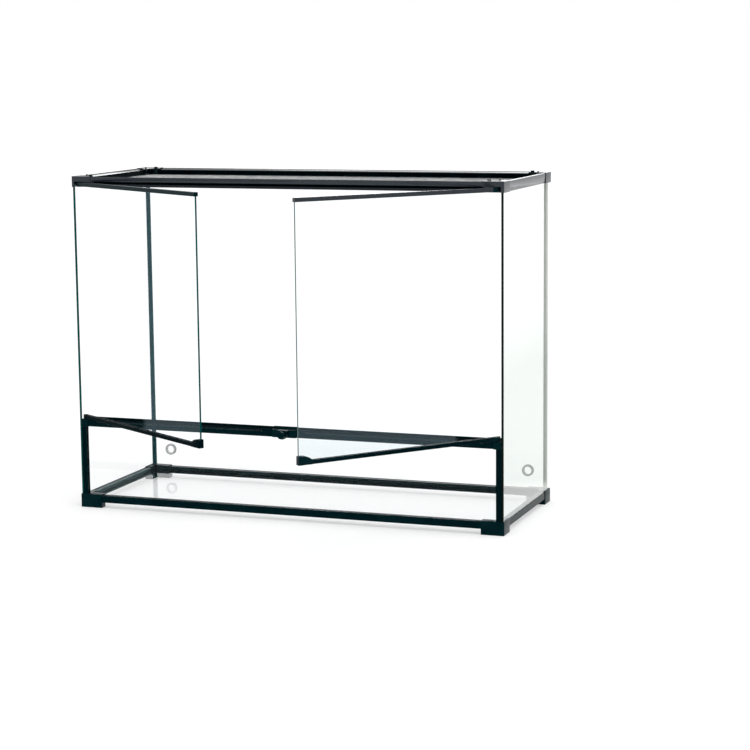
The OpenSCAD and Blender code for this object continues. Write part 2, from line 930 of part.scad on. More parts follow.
// Corner block: its top falls in one arc from a level part to the height of the rail
module door_corner_block(right) {
    run = block_l - block_flat;
    drop = block_h - door_rail_h;
    arc_r = (run * run + drop * drop) / (2 * drop);
    color(plastic)
        door_edge(right, false)
            difference() {
                along_y(door_y - block_t / 2, door_y + block_t / 2)
                    translate([block_x, 0])
                        intersection() {
                            square([block_l, block_h]);
                            union() {
                                translate([run, 0])
                                    square([block_flat, block_h]);
                                translate([run, block_h - arc_r])
                                    circle(arc_r, $fn = 180);
                            }
                        }
                door_glass_room(block_x - cut);
            }
}

foot(front_inset, lower_pane_x);  // foot_front_left
sided(true) foot(front_inset, lower_pane_x);  // foot_front_right
mirror([0, 1, 0]) foot(back_inset, back_pane_x);  // foot_back_left
sided(true) mirror([0, 1, 0]) foot(back_inset, back_pane_x);  // foot_back_right
base_rail_x(front_inset);  // base_rail_front
mirror([0, 1, 0]) base_rail_x(back_inset);  // base_rail_back
base_rail_y();  // base_rail_left
sided(true) base_rail_y();  // base_rail_right
floor_pane();
side_pane();  // side_pane_left
sided(true) side_pane();  // side_pane_right
back_pane();
lower_front_pane();
front_post();  // front_post_left
sided(true) front_post();  // front_post_right
back_strip();  // back_strip_left
sided(true) back_strip();  // back_strip_right
vent_rail();  // vent_rail_left
sided(true) vent_rail();  // vent_rail_right
hinge_bracket();  // hinge_bracket_left
sided(true) hinge_bracket();  // hinge_bracket_right
lock_housing();
lock_barrel();
lock_bolt();
top_rail_front();
top_rail_back();
top_rail_side();  // top_rail_left
sided(true) top_rail_side();  // top_rail_right
top_corner(true);  // top_corner_front_left
sided(true) top_corner(true);  // top_corner_front_right
mirror([0, 1, 0]) top_corner(false);  // top_corner_back_left
sided(true) mirror([0, 1, 0]) top_corner(false);  // top_corner_back_right
lid_rail_x();  // lid_rail_front
mirror([0, 1, 0]) lid_rail_x();  // lid_rail_back
lid_rail_y();  // lid_rail_left
sided(true) lid_rail_y();  // lid_rail_right
lid_screen();
lid_clips();
grommet();  // grommet_left
sided(true) grommet();  // grommet_right
door_pane(false);  // left_door_pane
door_rail(false, true);  // left_door_top_rail
door_rail(false, false);  // left_door_bottom_rail
door_corner_block(false);  // left_door_corner_block
door_shoe(false, true);  // left_door_top_shoe
door_shoe(false, false);  // left_door_bottom_shoe
door_pane(true);  // right_door_pane
door_rail(true, true);  // right_door_top_rail
door_rail(true, false);  // right_door_bottom_rail
door_corner_block(true);  // right_door_corner_block
door_shoe(true, true);  // right_door_top_shoe
door_shoe(true, false);  // right_door_bottom_shoe
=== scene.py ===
# %% [markdown]
# # A glass terrarium, dressed around its CAD frame
# The CAD model already has every piece of the cabinet at its true size and place, in metres.
# This lesson adds what CAD leaves out: glass that mirrors and tints, soft edges on the moulded
# pieces, a real wire screen, and the marks that tools and hands leave on plastic.
# The frame is loaded first, so that everything after it can be measured against it.

# %% Load the frame
import math

import bmesh
import bpy
from mathutils import Matrix, Vector


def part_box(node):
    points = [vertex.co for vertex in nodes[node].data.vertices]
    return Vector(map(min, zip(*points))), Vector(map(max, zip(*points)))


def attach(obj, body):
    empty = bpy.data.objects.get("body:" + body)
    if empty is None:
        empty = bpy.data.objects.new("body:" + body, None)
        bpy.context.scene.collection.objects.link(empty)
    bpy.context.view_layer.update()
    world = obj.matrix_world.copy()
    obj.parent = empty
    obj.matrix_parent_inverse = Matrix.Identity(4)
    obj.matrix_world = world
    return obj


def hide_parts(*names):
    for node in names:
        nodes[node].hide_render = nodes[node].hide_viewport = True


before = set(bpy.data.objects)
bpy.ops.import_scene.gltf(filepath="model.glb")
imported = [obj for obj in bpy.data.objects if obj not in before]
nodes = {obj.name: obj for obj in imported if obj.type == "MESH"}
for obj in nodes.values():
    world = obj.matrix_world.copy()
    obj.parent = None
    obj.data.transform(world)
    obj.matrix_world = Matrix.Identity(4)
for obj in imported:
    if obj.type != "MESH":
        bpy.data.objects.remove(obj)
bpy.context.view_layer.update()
MM = 0.001
QUARTER = math.pi / 2

# %% [markdown]
# ## The camera
# The photograph was taken from the right, a little above the lid, with a long lens. Its place
# was found by fitting the corners of the cabinet, so the numbers are not round. A camera looks
# along its own -Z, so it is first tipped up by 90 degrees to look along +Y. Then come the roll
# about that line, the pitch and the yaw.

# %% Camera
eye = Vector((2.075, -5.270, 1.219))
yaw, pitch, roll = (math.radians(a) for a in (19.83, -8.68, 0.55))
turn = (Matrix.Rotation(yaw, 3, "Z") @ Matrix.Rotation(pitch, 3, "X")
        @ Matrix.Rotation(roll, 3, "Y") @ Matrix.Rotation(QUARTER, 3, "X"))
bpy.ops.object.camera_add(location=eye, rotation=turn.to_euler())
camera = bpy.context.object
camera.name = "photo_camera"
SENSOR_MM, FOCAL_PX, PICTURE_PX = 36, 2114, 750
camera.data.sensor_width = SENSOR_MM
camera.data.lens = SENSOR_MM * FOCAL_PX / PICTURE_PX
bpy.context.scene.camera = camera
print("lens:", round(camera.data.lens, 1), "mm")

# %% [markdown]
# ## Tools for shaders
# A shader is a tree of nodes. Each of these helpers adds a node or two, links what it is given
# and returns what comes out, so that a finish reads like a formula.

# %% Shader helpers
WHITE, BLACK = (1, 1, 1, 1), (0, 0, 0, 1)


def put(tree, kind, **inputs):
    """A node with those inputs. An input is a number or a socket to link."""
    node = tree.nodes.new(kind)
    for label, value in inputs.items():
        feed(tree, node.inputs[label.replace("_", " ")], value)
    return node


def feed(tree, socket, value):
    """Links a socket to an input, or sets a plain value on it."""
    if isinstance(value, bpy.types.NodeSocket):
        tree.links.new(value, socket)
    else:
        socket.default_value = value


def maths(tree, operation, *values):
    """The output of one Math node."""
    node = tree.nodes.new("ShaderNodeMath")
    node.operation = operation
    for socket, value in zip(node.inputs, values):
        feed(tree, socket, value)
    return node.outputs[0]


def spread(tree, value, low, high):
    """value, drawn out so that low becomes 0 and high becomes 1."""
    node = put(tree, "ShaderNodeMapRange", Value=value, From_Min=low, From_Max=high)
    return node.outputs["Result"]


def blend_colour(tree, share, first, second):
    """first where share is 0, second where it is 1."""
    node = tree.nodes.new("ShaderNodeMix")
    node.data_type = "RGBA"
    feed(tree, node.inputs["Factor"], share)
    feed(tree, node.inputs["A"], first)
    feed(tree, node.inputs["B"], second)
    return node.outputs["Result"]


def own_place(tree):
    """The place on the piece, in metres."""
    return tree.nodes.new("ShaderNodeTexCoord").outputs["Object"]


def effect(tree, group, **inputs):
    """The outputs of a shader group, placed with those values."""
    node = tree.nodes.new("ShaderNodeGroup")
    node.node_tree = group
    for label, value in inputs.items():
        feed(tree, node.inputs[label], value)
    return node.outputs


def plain_material(name):
    """A new material, its node tree and its Principled shader."""
    made = bpy.data.materials.new(name)
    made.use_nodes = True
    print("material:", name)
    return made, made.node_tree, made.node_tree.nodes["Principled BSDF"]


def coat(tree, skin, mottle, dark, pale, rough, vary=0.1):
    """A colour between two tones, and a roughness that varies with the same noise."""
    feed(tree, skin.inputs["Base Color"], blend_colour(tree, mottle, dark, pale))
    feed(tree, skin.inputs["Roughness"], maths(tree, "MULTIPLY_ADD", mottle, vary, rough))


def emboss(tree, skin, height, lift, strength=0.5):
    """Tips the normal by a height map. lift is how high it stands, in metres."""
    bump = put(tree, "ShaderNodeBump", Height=height, Distance=lift, Strength=strength)
    feed(tree, skin.inputs["Normal"], bump.outputs["Normal"])


def show(tree, shader):
    """Makes a shader the one that the surface gets."""
    tree.links.new(shader.outputs[0], tree.nodes["Material Output"].inputs["Surface"])


# %% [markdown]
# ## The studio
# A product like this is shot on a white sweep. The floor is one large pale plane. The world is
# white for whatever looks at it, also through glass or in a reflection, and weaker for the
# light that it sheds, so that one broad lamp overhead can still give the pieces a lighter and
# a darker side. The rays are told apart with a Light Path node.

# %% World and floor
scene = bpy.context.scene
scene.view_settings.view_transform = "Standard"
# A line of sight through both doors and three panes meets ten faces of glass and more.
scene.cycles.transparent_max_bounces = 32

WORLD_LIGHT = 0.70
FLOOR_GLOW = 0.35
FLOOR_SIZE = 60
PAPER_DARK, PAPER_PALE = (0.74, 0.74, 0.74, 1), (0.76, 0.76, 0.76, 1)
PAPER_ROUGH, PAPER_GLOSS = 0.9, 0.1


def seen_rays(tree):
    """1 for rays that show a surface to the eye, straight, in a mirror or through glass."""
    rays = tree.nodes.new("ShaderNodeLightPath").outputs
    either = maths(tree, "MAXIMUM", rays["Is Camera Ray"], rays["Is Glossy Ray"])
    return maths(tree, "MAXIMUM", either, rays["Is Transmission Ray"])


world = bpy.data.worlds.new("white studio")
scene.world = world
world.use_nodes = True
sky = world.node_tree
glow = sky.nodes["Background"]
glow.inputs["Color"].default_value = WHITE
feed(sky, glow.inputs["Strength"],
     maths(sky, "MULTIPLY_ADD", seen_rays(sky), 1 - WORLD_LIGHT, WORLD_LIGHT))

bpy.ops.object.select_all(action="DESELECT")
bpy.ops.mesh.primitive_plane_add(size=FLOOR_SIZE)
floor = bpy.context.object
floor.name = "studio_floor"

paper, tree, sheet = plain_material("white sweep")
sheet.inputs["Roughness"].default_value = PAPER_ROUGH
sheet.inputs["Specular IOR Level"].default_value = PAPER_GLOSS
fibre = put(tree, "ShaderNodeTexNoise", Vector=own_place(tree), Scale=3.0)
feed(tree, sheet.inputs["Base Color"],
     blend_colour(tree, fibre.outputs["Fac"], PAPER_DARK, PAPER_PALE))
lift = put(tree, "ShaderNodeEmission",
           Strength=maths(tree, "MULTIPLY", seen_rays(tree), FLOOR_GLOW))
both = tree.nodes.new("ShaderNodeAddShader")
tree.links.new(sheet.outputs[0], both.inputs[0])
tree.links.new(lift.outputs[0], both.inputs[1])
show(tree, both)
floor.data.materials.append(paper)
print("world light:", WORLD_LIGHT, "floor glow:", FLOOR_GLOW)

# %% [markdown]
# A Sun lamp with a wide angle lights the floor softly and evenly, all the way to the horizon.
# A long softbox stands behind the cabinet, as in a shoot of black goods: it draws a white line
# on every edge that faces up and back. The camera doesn't see the box itself, and it only
# shows in mirror images, so it leaves no pool of light on the floor.

# %% Lamps
def aim(kind, name, place, toward):
    """A lamp at that place that shines along a direction."""
    bpy.ops.object.light_add(type=kind, location=place,
                             rotation=Vector(toward).to_track_quat("-Z", "Y").to_euler())
    lamp = bpy.context.object
    lamp.name = name
    return lamp


overhead = aim("SUN", "soft_overhead", (1.5, -1.2, 3.4), (-0.45, 0.35, -1.0))
SUN_POWER, SUN_SPREAD = 1.0, math.radians(50)
overhead.data.energy = SUN_POWER
overhead.data.angle = SUN_SPREAD

BOX_W, BOX_H, BOX_RADIANCE = 4.0, 1.6, 3.0
rim_light = aim("AREA", "rim_softbox", (0.2, 3.2, 1.95), (-0.02, -1.0, -0.28))
rim_light.data.shape = "RECTANGLE"
rim_light.data.size, rim_light.data.size_y = BOX_W, BOX_H
rim_light.data.energy = BOX_RADIANCE * math.pi * BOX_W * BOX_H
rim_light.visible_camera = False
rim_light.visible_diffuse = False
print("lamps:", overhead.name, rim_light.name)

# %% [markdown]
# ## Effects that several finishes share
# A shader node group is a small effect with named inputs and outputs. It is built once and
# placed in each material with its own values. Five of them serve this object: edges rubbed
# bright, the fine grain of a moulded surface, the lengthwise lines of a drawn rail, dust on
# what faces up, and the faint marks that a cloth leaves on glass.

# %% New groups
# A noise lies mostly between these two, and it is drawn out to the range from 0 to 1.
NOISE_LOW, NOISE_HIGH = 0.3, 0.7


def new_group(name, inputs, outputs):
    """A shader group with those inputs and outputs, all of them plain numbers."""
    group = bpy.data.node_groups.new(name, "ShaderNodeTree")
    for label, value in inputs.items():
        socket = group.interface.new_socket(label, in_out="INPUT", socket_type="NodeSocketFloat")
        socket.default_value = value
    for label in outputs:
        group.interface.new_socket(label, in_out="OUTPUT", socket_type="NodeSocketFloat")
    start = group.nodes.new("NodeGroupInput")
    end = group.nodes.new("NodeGroupOutput")
    print("group:", name, "with", list(inputs), "gives", outputs)
    return group, start.outputs, end.inputs


# %% [markdown]
# ### Rubbed edges
# Corners that hands and boxes brush against turn a little paler and smoother. The Bevel node
# gives the normal that the surface would have if its edges were round. Where that differs
# from the true one, there is an edge. A noise breaks the line up.

# %% Rubbed edges
EDGE_BEGINS, EDGE_WHOLE = 0.995, 0.80
PATCH_BEGINS, PATCH_WHOLE = 0.30, 0.62
rubbed, given, out = new_group("rubbed edges", {"Width": 0.0008, "Amount": 1.0}, ["Mask"])
rounded = rubbed.nodes.new("ShaderNodeBevel")
rounded.samples = 4
rubbed.links.new(given["Width"], rounded.inputs["Radius"])
true_face = rubbed.nodes.new("ShaderNodeNewGeometry")
match = rubbed.nodes.new("ShaderNodeVectorMath")
match.operation = "DOT_PRODUCT"
rubbed.links.new(rounded.outputs["Normal"], match.inputs[0])
rubbed.links.new(true_face.outputs["Normal"], match.inputs[1])
line = spread(rubbed, match.outputs["Value"], EDGE_BEGINS, EDGE_WHOLE)
patchy = put(rubbed, "ShaderNodeTexNoise", Vector=own_place(rubbed), Scale=60.0, Detail=3.0)
patches = spread(rubbed, patchy.outputs["Fac"], PATCH_BEGINS, PATCH_WHOLE)
broken = maths(rubbed, "MULTIPLY", line, patches)
rubbed.links.new(maths(rubbed, "MULTIPLY", broken, given["Amount"]), out["Mask"])

# %% [markdown]
# ### Moulded grain
# Corner pieces, shoes and the lock come out of a mould with a fine spark-eroded grain. Two
# noises do it: one with grains of 0.4 mm, which lifts the surface, and a slow one that makes
# the black uneven by a shade.

# %% Moulded grain
grain, given, out = new_group("moulded grain", {"Size": 0.0004}, ["Height", "Mottle"])
fine = put(grain, "ShaderNodeTexNoise", Vector=own_place(grain), Detail=2.0,
           Scale=maths(grain, "DIVIDE", 1.0, given["Size"]))
slow = put(grain, "ShaderNodeTexNoise", Vector=own_place(grain), Detail=3.0, Scale=28.0)
grain.links.new(fine.outputs["Fac"], out["Height"])
grain.links.new(spread(grain, slow.outputs["Fac"], NOISE_LOW, NOISE_HIGH), out["Mottle"])

# %% [markdown]
# ### Drawn lines
# A rail is pressed through a die, which leaves faint lines along its whole length. A noise
# that is stretched along the rail gives them. The group takes the length's direction as a
# turn about Z, in radians, and a second input stands the lines upright for the posts.

# %% Drawn lines
drawn, given, out = new_group(
    "drawn lines", {"Turn": 0.0, "Upright": 0.0, "Pitch": 0.0009}, ["Height", "Mottle"])
angles = put(drawn, "ShaderNodeCombineXYZ", Z=maths(drawn, "MULTIPLY", given["Turn"], -1.0),
             Y=maths(drawn, "MULTIPLY", given["Upright"], QUARTER))
laid = drawn.nodes.new("ShaderNodeVectorRotate")
laid.rotation_type = "EULER_XYZ"
drawn.links.new(own_place(drawn), laid.inputs["Vector"])
drawn.links.new(angles.outputs["Vector"], laid.inputs["Rotation"])
# The noise is this much slower along the rail than across it.
STRETCH = 0.004
thin = drawn.nodes.new("ShaderNodeVectorMath")
thin.operation = "MULTIPLY"
drawn.links.new(laid.outputs["Vector"], thin.inputs[0])
thin.inputs[1].default_value = (STRETCH, 1, 1)
lines = put(drawn, "ShaderNodeTexNoise", Vector=thin.outputs["Vector"], Detail=3.0,
            Scale=maths(drawn, "DIVIDE", 1.0, given["Pitch"]))
broad = put(drawn, "ShaderNodeTexNoise", Vector=laid.outputs["Vector"], Detail=2.0, Scale=9.0)
drawn.links.new(lines.outputs["Fac"], out["Height"])
drawn.links.new(spread(drawn, broad.outputs["Fac"], NOISE_LOW, NOISE_HIGH), out["Mottle"])

# %% [markdown]
# ### Settled dust
# A new cabinet is clean, but on black even a breath of dust shows on level faces. The mask
# is the upward part of the normal, broken by a noise.

# %% Settled dust
LEVEL_BEGINS, LEVEL_WHOLE = 0.7, 1.0
CLOUD_BEGINS, CLOUD_WHOLE = 0.35, 0.7
dust, given, out = new_group("settled dust", {"Amount": 0.1}, ["Mask"])
facing = dust.nodes.new("ShaderNodeNewGeometry")
parts = put(dust, "ShaderNodeSeparateXYZ", Vector=facing.outputs["Normal"])
cloudy = put(dust, "ShaderNodeTexNoise", Vector=own_place(dust), Scale=22.0, Detail=5.0)
level_part = maths(dust, "MULTIPLY",
                   spread(dust, parts.outputs["Z"], LEVEL_BEGINS, LEVEL_WHOLE),
                   spread(dust, cloudy.outputs["Fac"], CLOUD_BEGINS, CLOUD_WHOLE))
dust.links.new(maths(dust, "MULTIPLY", level_part, given["Amount"]), out["Mask"])

# %% [markdown]
# ### Wiped glass
# Polished glass never comes quite clean. A stretched noise stands for the sweeps of a cloth.
# It roughens the mirror image a little, and the glass takes its deeper tint there.

# %% Wiped glass
WIPE_TURN, WIPE_SCALE = (0.5, 0.4, 0.7), (3, 9, 2)
FILM_BEGINS, FILM_WHOLE = 0.45, 0.75
wiped, given, out = new_group("wiped glass", {"Strength": 0.04}, ["Roughness", "Film"])
swept = put(wiped, "ShaderNodeMapping", Vector=own_place(wiped))
swept.inputs["Rotation"].default_value = WIPE_TURN
swept.inputs["Scale"].default_value = WIPE_SCALE
marks = put(wiped, "ShaderNodeTexNoise", Vector=swept.outputs["Vector"], Scale=2.2, Detail=4.0,
            Distortion=0.6)
film = spread(wiped, marks.outputs["Fac"], FILM_BEGINS, FILM_WHOLE)
wiped.links.new(film, out["Film"])
wiped.links.new(maths(wiped, "MULTIPLY", film, given["Strength"]), out["Roughness"])


# %% [markdown]
# ## Finishes
# The photograph shows a blue-black plastic: near black where it is seen square on, and grey
# where it is seen at a slant and mirrors the white studio. The lower frame is a little less
# glossy than the upper one, and its mirror image is painted blue-green by a tint. Both are
# plain values of each finish, so they sit on the shader's own sockets.

# %% Black plastic
WORN_TONE, WORN_SHARE, WORN_SMOOTHER = (0.03, 0.037, 0.04, 1), 0.6, -0.10
DUST_TONE, DUST_ROUGHER = (0.42, 0.41, 0.38, 1), 0.8
MOTTLE_ROUGHER = 0.08


def black_plastic(name, surface, dark, pale, gloss, rough, lift, dusty, mirror_tint, **place):
    """surface is one of the two groups that give Height and Mottle, and place its inputs. lift
    is how high its relief stands, in metres, and dusty how much dust lies on level faces."""
    made, tree, skin = plain_material(name)
    relief = effect(tree, surface, **place)
    worn = effect(tree, rubbed)["Mask"]
    dusted = effect(tree, dust, Amount=dusty)["Mask"]
    colour = blend_colour(tree, relief["Mottle"], dark, pale)
    colour = blend_colour(tree, maths(tree, "MULTIPLY", worn, WORN_SHARE), colour, WORN_TONE)
    colour = blend_colour(tree, dusted, colour, DUST_TONE)
    feed(tree, skin.inputs["Base Color"], colour)
    uneven = maths(tree, "MULTIPLY_ADD", relief["Mottle"], MOTTLE_ROUGHER, rough)
    smoother = maths(tree, "MULTIPLY_ADD", worn, WORN_SMOOTHER, uneven)
    roughness = maths(tree, "MULTIPLY_ADD", dusted, DUST_ROUGHER, smoother)
    feed(tree, skin.inputs["Roughness"], roughness)
    skin.inputs["Specular IOR Level"].default_value = gloss
    skin.inputs["Specular Tint"].default_value = mirror_tint
    emboss(tree, skin, relief["Height"], lift, strength=0.6)
    return made


# %% [markdown]
# ### The black finishes
# The lines of a drawn rail follow its length, so there is a finish for each direction: along X,
# along Y, upright, and along each open door. How much a piece mirrors depends on the slant at
# which it is seen, and it was set against the photograph piece by piece.

# %% Tones and rail finishes
BASE_TONES = (0.0, 0.004, 0.006, 1), (0.001, 0.008, 0.011, 1)
TOP_TONES = (0.009, 0.012, 0.017, 1), (0.013, 0.017, 0.024, 1)
BASE_GLOSS, TOP_GLOSS = 0.08, 0.5
BASE_ROUGH, TOP_ROUGH = 0.22, 0.12
# Painted reflection: these tints colour the mirror image, blue-green below and cool above.
BASE_MIRROR, TOP_MIRROR = (0.1, 0.9, 1.0, 1), (0.84, 0.95, 1.0, 1)
EXTRUDED_LIFT, MOULDED_LIFT = 0.00001, 0.00002
BREATH_OF_DUST, NO_DUST = 0.02, 0.0


def base_rail(name, gloss=BASE_GLOSS, rough=BASE_ROUGH, **place):
    """A drawn rail of the lower frame or of a door."""
    return black_plastic(name, drawn, *BASE_TONES, gloss, rough, EXTRUDED_LIFT, BREATH_OF_DUST,
                         BASE_MIRROR, **place)


def top_rail(name, gloss=TOP_GLOSS, **place):
    """A drawn rail of the upper frame, glossier and greyer."""
    return black_plastic(name, drawn, *TOP_TONES, gloss, TOP_ROUGH, EXTRUDED_LIFT,
                         BREATH_OF_DUST, TOP_MIRROR, **place)


HIGH_GLOSS, LOW_GLOSS, FAINT_GLOSS = 0.10, 0.04, 0.01
SIDE_GLOSS, RIGHT_DOOR_GLOSS, LIP_GLOSS = 0.85, 0.4, 0.2
LEFT_BASE_GLOSS, LEFT_BASE_ROUGH = 0.35, 0.45
base_along_x = base_rail("base rail, along X")
base_along_y = base_rail("base rail, along Y", Turn=QUARTER)
upright = base_rail("post, upright", LOW_GLOSS, Upright=1.0)
left_base = base_rail(
    "left base rail, along Y", LEFT_BASE_GLOSS, LEFT_BASE_ROUGH, Turn=QUARTER)
lip_finish = top_rail("lip under the fascia", LIP_GLOSS)
top_along_x = top_rail("top rail, along X")
top_along_y = top_rail("top rail, along Y", SIDE_GLOSS, Turn=QUARTER)
LEFT_OPEN, RIGHT_OPEN = math.radians(33), math.radians(51)
# The left door is seen at a slant, where even a little gloss turns it grey.
door_finishes = {
    ("left", "top"): base_rail("left door, top rail", HIGH_GLOSS, Turn=-LEFT_OPEN),
    ("left", "bottom"): base_rail("left door, bottom rail", FAINT_GLOSS, Turn=-LEFT_OPEN),
    ("right", "top"): top_rail("right door, top rail", RIGHT_DOOR_GLOSS, Turn=RIGHT_OPEN),
    ("right", "bottom"): base_rail("right door, bottom rail", LOW_GLOSS, Turn=RIGHT_OPEN)}


# %% [markdown]
# The moulded pieces share one function too, and only its values differ. The left door's
# mouldings are as dull as its bottom rail, and the lid's clips mirror what the top frame does.

# %% Moulded finishes
def moulded(name, tones, gloss, rough, mirror_tint, dusty=BREATH_OF_DUST):
    """A black plastic out of a mould."""
    return black_plastic(name, grain, *tones, gloss, rough, MOULDED_LIFT, dusty, mirror_tint)


BASE_MOULD, BASE_MOULD_ROUGH, TOP_MOULD_ROUGH = 0.12, 0.26, 0.18
SHADE_GLOSS, SHADE_ROUGH = 0.02, 0.6
SLOT_LIGHT_TONES = (0.22, 0.26, 0.27, 1), (0.30, 0.34, 0.35, 1)
SLOT_LIGHT_GLOSS, SLOT_LIGHT_ROUGH = 0.1, 0.5
base_moulded = moulded(
    "moulded plastic, base", BASE_TONES, BASE_MOULD, BASE_MOULD_ROUGH, BASE_MIRROR)
top_moulded = moulded(
    "moulded plastic, top", TOP_TONES, TOP_GLOSS, TOP_MOULD_ROUGH, TOP_MIRROR)
slanted_moulded = moulded(
    "moulded plastic, left door", BASE_TONES, FAINT_GLOSS, BASE_MOULD_ROUGH, BASE_MIRROR)
clip_moulded = moulded(
    "moulded plastic, lid clips", BASE_TONES, BASE_MOULD, BASE_MOULD_ROUGH, TOP_MIRROR)
# Painted shade: a black that hardly mirrors, for faces where shade falls.
shaded = moulded(
    "plastic, painted shade", (BLACK, BASE_TONES[0]), SHADE_GLOSS, SHADE_ROUGH, BASE_MIRROR,
    NO_DUST)
# Painted light: the sides of the vent's slots are pale, so that the slots show as light dots.
slot_light = moulded(
    "plastic, painted light in the slots", SLOT_LIGHT_TONES, SLOT_LIGHT_GLOSS, SLOT_LIGHT_ROUGH, BASE_MIRROR, NO_DUST)


# %% [markdown]
# ### Glass
# Each pane is a closed slab with two faces, and a straight line of sight goes through both.
# A Transparent shader with a faint tint stands for the glass, and a Glossy one for its
# mirror image. Fresnel says how much of each there is: little from straight ahead, much at a
# slant. Inside the slab the Fresnel node would turn to total reflection, so the far face,
# which is seen from behind, doesn't mirror, and the near face mirrors for both. How strongly a
# pane mirrors is painted: a factor for each pane, and on some a fade by place, sets it.

# %% Glass
GLASS_IOR = 1.5


def ramp_along(tree, direction, start, end):
    """0 before the first place along a direction, 1 after the second."""
    node = put(tree, "ShaderNodeVectorMath")
    node.operation = "DOT_PRODUCT"
    tree.links.new(own_place(tree), node.inputs[0])
    node.inputs[1].default_value = direction
    return spread(tree, node.outputs["Value"], start, end)


def pane_glass(name, tints, strength, mirror_tint=WHITE, painted_fade=None, painted_low_tint=None):
    """tints are those of clean and of marked glass. The fade is a direction, the two places
    along it between which the mirror image is painted weaker, and the strength that is left. The
    low tint is the same for a painted shade, a deeper tint."""
    made, tree, skin = plain_material(name)
    tree.nodes.remove(skin)
    marks = effect(tree, wiped)
    mirror = put(tree, "ShaderNodeBsdfGlossy", Roughness=marks["Roughness"])
    mirror.inputs["Color"].default_value = mirror_tint
    clear = tree.nodes.new("ShaderNodeBsdfTransparent")
    colour = blend_colour(tree, marks["Film"], *tints)
    if painted_low_tint:
        *where, deeper = painted_low_tint
        colour = blend_colour(tree, ramp_along(tree, *where), colour, deeper)
    feed(tree, clear.inputs["Color"], colour)
    if painted_fade:
        *where, rest = painted_fade
        weaker = ramp_along(tree, *where)
        strength = maths(tree, "MULTIPLY_ADD", weaker, rest - strength, strength)
    slant = put(tree, "ShaderNodeFresnel", IOR=GLASS_IOR).outputs["Fac"]
    both_faces = maths(tree, "DIVIDE", maths(tree, "MULTIPLY", slant, 2.0),
                       maths(tree, "ADD", slant, 1.0))
    behind = tree.nodes.new("ShaderNodeNewGeometry").outputs["Backfacing"]
    share = maths(tree, "MULTIPLY", maths(tree, "MULTIPLY", both_faces, strength),
                  maths(tree, "SUBTRACT", 1.0, behind))
    mixed = tree.nodes.new("ShaderNodeMixShader")
    feed(tree, mixed.inputs[0], share)
    tree.links.new(clear.outputs[0], mixed.inputs[1])
    tree.links.new(mirror.outputs[0], mixed.inputs[2])
    show(tree, mixed)
    return made


# %% [markdown]
# The edge of a pane shows the green of the glass's whole depth. It is a plain shader, but from
# inside the glass it lets the view through, as a Mix Shader with Backfacing tells the sides
# apart.

# %% Edges of the glass
EDGE_GRAIN, EDGE_LIFT, EDGE_GLOSS, EDGE_ROUGH = 0.0003, 0.00001, 0.05, 0.22


def ground_edge(name, deep, pale):
    """The edge of a pane, in two greens. From inside the glass it can't be seen."""
    made, tree, skin = plain_material(name)
    behind = tree.nodes.new("ShaderNodeNewGeometry").outputs["Backfacing"]
    clear = tree.nodes.new("ShaderNodeBsdfTransparent")
    mixed = tree.nodes.new("ShaderNodeMixShader")
    feed(tree, mixed.inputs[0], behind)
    tree.links.new(skin.outputs[0], mixed.inputs[1])
    tree.links.new(clear.outputs[0], mixed.inputs[2])
    show(tree, mixed)
    relief = effect(tree, grain, Size=EDGE_GRAIN)
    coat(tree, skin, relief["Mottle"], deep, pale, EDGE_ROUGH)
    emboss(tree, skin, relief["Height"], EDGE_LIFT)
    skin.inputs["Specular IOR Level"].default_value = EDGE_GLOSS
    return made


# All four edges are of one glass. Their tones are painted light and shade: the darkest is a
# painted shade, and the palest a painted light.
teal_edge = ground_edge("glass edge, teal", (0.0, 0.050, 0.046, 1), (0.0, 0.075, 0.070, 1))
door_edge = ground_edge(
    "glass edge, blue-green", (0.0, 0.052, 0.052, 1), (0.0, 0.075, 0.075, 1))
shaded_glass_edge = ground_edge(
    "glass edge, painted shade", (0.0, 0.004, 0.002, 1), (0.0, 0.009, 0.006, 1))
lit_glass_edge = ground_edge("glass edge, painted light", (0.10, 0.17, 0.16, 1), (0.14, 0.22, 0.21, 1))

# %% [markdown]
# Each pane's mirror image has a painted strength of its own. The doors' mirror image is
# painted a cool blue.

# %% The panes' glass
FAINT_TINT = (0.986, 0.992, 0.985, 1), (0.982, 0.989, 0.981, 1)
CLEAR = (0.997, 1.0, 1.0, 1), (0.994, 0.998, 0.999, 1)
COOL_MIRROR = (0.66, 0.87, 1.0, 1)
# The right pane's mirror image is painted: strong over the base rail, weaker above it. Low
# down its tint is painted deeper and greener, a painted shade.
right_glass = pane_glass(
    "right side glass", FAINT_TINT, strength=1.25, painted_fade=((0, 0.2, 1), 0.085, 0.105, 0.25),
    painted_low_tint=((0, 0, -1), -0.58, -0.40, (0.910, 0.933, 0.918, 1)))
left_glass = pane_glass("left side glass", CLEAR, strength=0.3)
# The doors' mirror image is painted out in the parts by their hinges. Below the line where
# the right door crosses the vent rail, its tint is painted deeper and bluer, a painted shade.
right_door_glass = pane_glass(
    "right door glass", CLEAR, 0.62, COOL_MIRROR, painted_fade=((1, 0, 0), 0.499, 0.506, 0.0),
    painted_low_tint=((-0.2, 0, -1), -0.356, -0.350, (0.932, 0.951, 0.959, 1)))
left_door_glass = pane_glass(
    "left door glass", CLEAR, 0.35, COOL_MIRROR, painted_fade=((-1, 0, 0), 0.313, 0.333, 0.0))
front_glass = pane_glass("lower front glass", CLEAR, strength=0.15)
back_glass = pane_glass("back glass", CLEAR, strength=0.12)
floor_glass = pane_glass("floor glass", CLEAR, strength=0.6)


# %% [markdown]
# ### Metal, screen, grommet and strips
# The screen's wire is steel with a dark coat that is thin in places. The bolt is plain pressed
# steel, and the grommets are a soft grey plastic. The strips in the back corners are seen
# through the glass that they hold.

